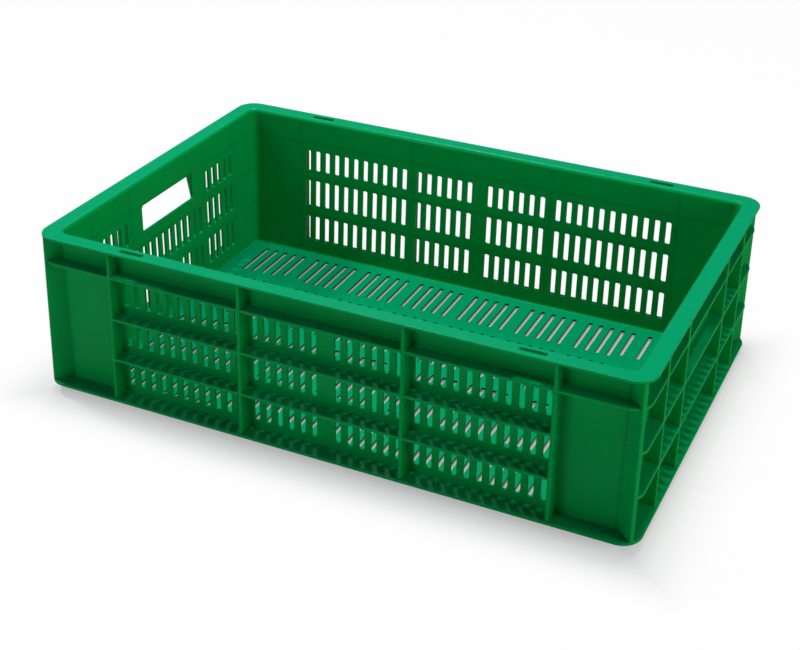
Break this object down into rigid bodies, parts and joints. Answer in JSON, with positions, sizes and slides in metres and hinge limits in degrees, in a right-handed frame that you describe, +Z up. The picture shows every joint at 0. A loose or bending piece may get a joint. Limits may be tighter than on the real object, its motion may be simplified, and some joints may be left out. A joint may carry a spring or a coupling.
{
  "type": "stacking crate",
  "caption": "Open rectangular plastic stacking crate with slotted walls and floor, an outward rim, rows of stiffening ribs and a hand hole in each end.",
  "frame": {"origin": "centre of the foot's underside", "axes": "+X along the long sides to the right end, +Y to the rear long side, +Z up"},
  "size_m": [0.6, 0.4, 0.17],
  "materials": {
    "shell": "satin moulded plastic"
  },
  "bodies": {
    "root": {"rim_front": "shell", "rim_rear": "shell", "rim_left": "shell", "rim_right": "shell", "rim_corner_front_left": "shell", "rim_corner_front_right": "shell", "rim_corner_rear_left": "shell", "rim_corner_rear_right": "shell", "wall_front": "shell", "wall_rear": "shell", "end_panel_left_front": "shell", "end_panel_left_rear": "shell", "end_panel_left_lower": "shell", "hand_grip_left": "shell", "end_panel_right_front": "shell", "end_panel_right_rear": "shell", "end_panel_right_lower": "shell", "hand_grip_right": "shell", "corner_wall_front_left": "shell", "corner_wall_front_right": "shell", "corner_wall_rear_left": "shell", "corner_wall_rear_right": "shell", "base_floor": "shell", "foot_ring": "shell", "flange_front": "shell", "flange_rear": "shell", "flange_left": "shell", "flange_right": "shell", "rib_front_upper": "shell", "rib_front_middle": "shell", "rib_front_lower": "shell", "rib_rear_upper": "shell", "rib_rear_middle": "shell", "rib_rear_lower": "shell", "rib_left_upper": "shell", "rib_left_middle": "shell", "rib_left_lower": "shell", "rib_right_upper": "shell", "rib_right_middle": "shell", "rib_right_lower": "shell", "upright_front_left_outer": "shell", "upright_front_left_inner": "shell", "upright_front_right_inner": "shell", "upright_front_right_outer": "shell", "upright_rear_left_outer": "shell", "upright_rear_left_inner": "shell", "upright_rear_right_inner": "shell", "upright_rear_right_outer": "shell", "upright_left_front_outer": "shell", "upright_left_front_inner": "shell", "upright_left_rear_inner": "shell", "upright_left_rear_outer": "shell", "upright_right_front_outer": "shell", "upright_right_front_inner": "shell", "upright_right_rear_inner": "shell", "upright_right_rear_outer": "shell", "corner_fin_front_left": "shell", "corner_fin_front_right": "shell", "corner_fin_rear_left": "shell", "corner_fin_rear_right": "shell"}
  },
  "joints": []
}
